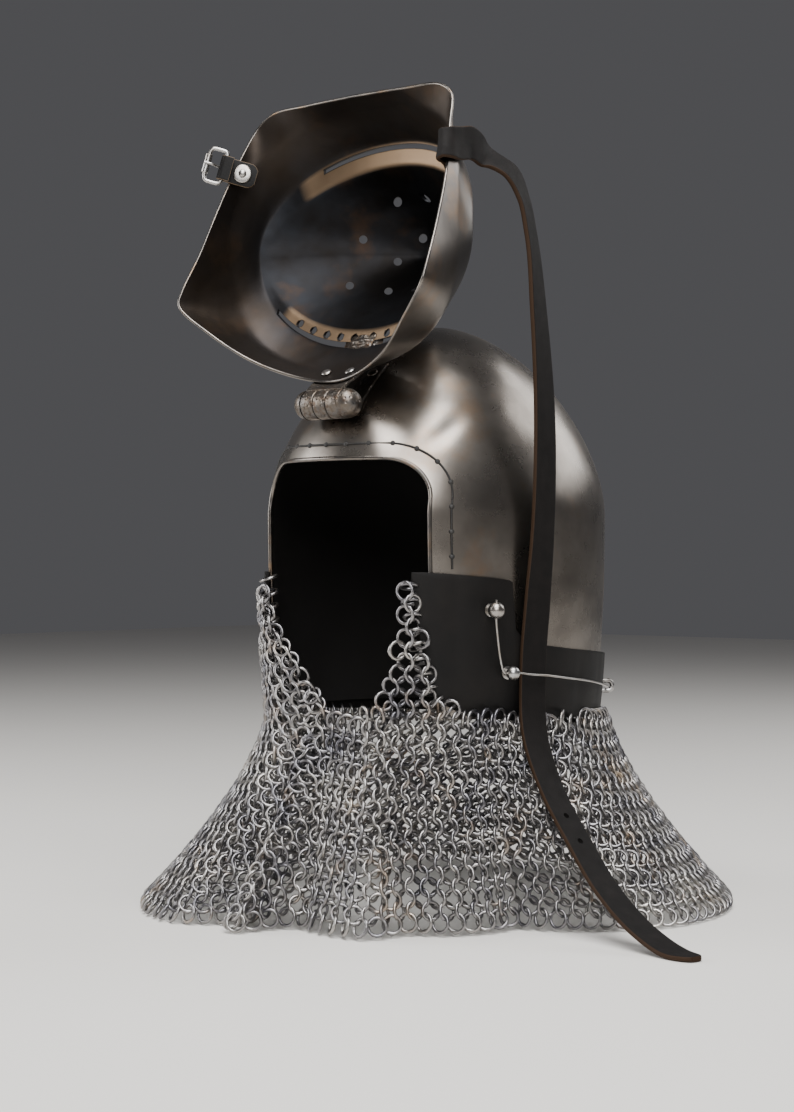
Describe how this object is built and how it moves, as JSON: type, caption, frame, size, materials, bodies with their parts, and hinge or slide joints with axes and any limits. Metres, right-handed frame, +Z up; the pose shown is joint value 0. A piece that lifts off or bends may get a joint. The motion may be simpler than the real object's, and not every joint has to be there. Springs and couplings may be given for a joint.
{
  "type": "visored bascinet helmet with mail aventail",
  "caption": "Steel bascinet with a pointed visor raised on a brow hinge, a leather-hung riveted mail aventail, and a long strap with its buckle.",
  "frame": {"origin": "on the surface it stands on, under the middle of the whole object's box", "axes": "+Z up, -Y the way the face looks, +X the wearer's left"},
  "size_m": [0.439, 0.3752, 0.5218],
  "materials": {
    "brushed_steel": "satin polished steel",
    "blackened_steel": "blackened inside, satin outside",
    "pitted_steel": "forged and pitted",
    "nickel_steel": "bright",
    "mail_rings": "oiled riveted rings",
    "black_leather": "matte veg-tanned",
    "strap_leather": "worn suede face, raw edges"
  },
  "bodies": {
    "root": {"brow_rivet_left": "pitted_steel", "brow_rivet_right": "pitted_steel", "buckle_frame": "nickel_steel", "buckle_prong": "nickel_steel", "buckle_roller": "nickel_steel", "buckle_tab": "black_leather", "eye_staple_left": "nickel_steel", "eye_staple_right": "nickel_steel", "hinge_brow_leaf": "pitted_steel", "hinge_pin": "pitted_steel", "hinge_visor_leaf": "pitted_steel", "leather_band": "black_leather", "mail_aventail": "mail_rings", "skull": "brushed_steel", "tab_rivet": "nickel_steel", "tab_washer": "nickel_steel", "vervelle_front_left": "nickel_steel", "vervelle_front_right": "nickel_steel", "vervelle_lower_left": "nickel_steel", "vervelle_lower_right": "nickel_steel", "vervelle_wire": "nickel_steel", "visor": "blackened_steel", "visor_rivet_left": "nickel_steel", "visor_rivet_right": "nickel_steel", "visor_strap": "strap_leather"}
  },
  "joints": []
}
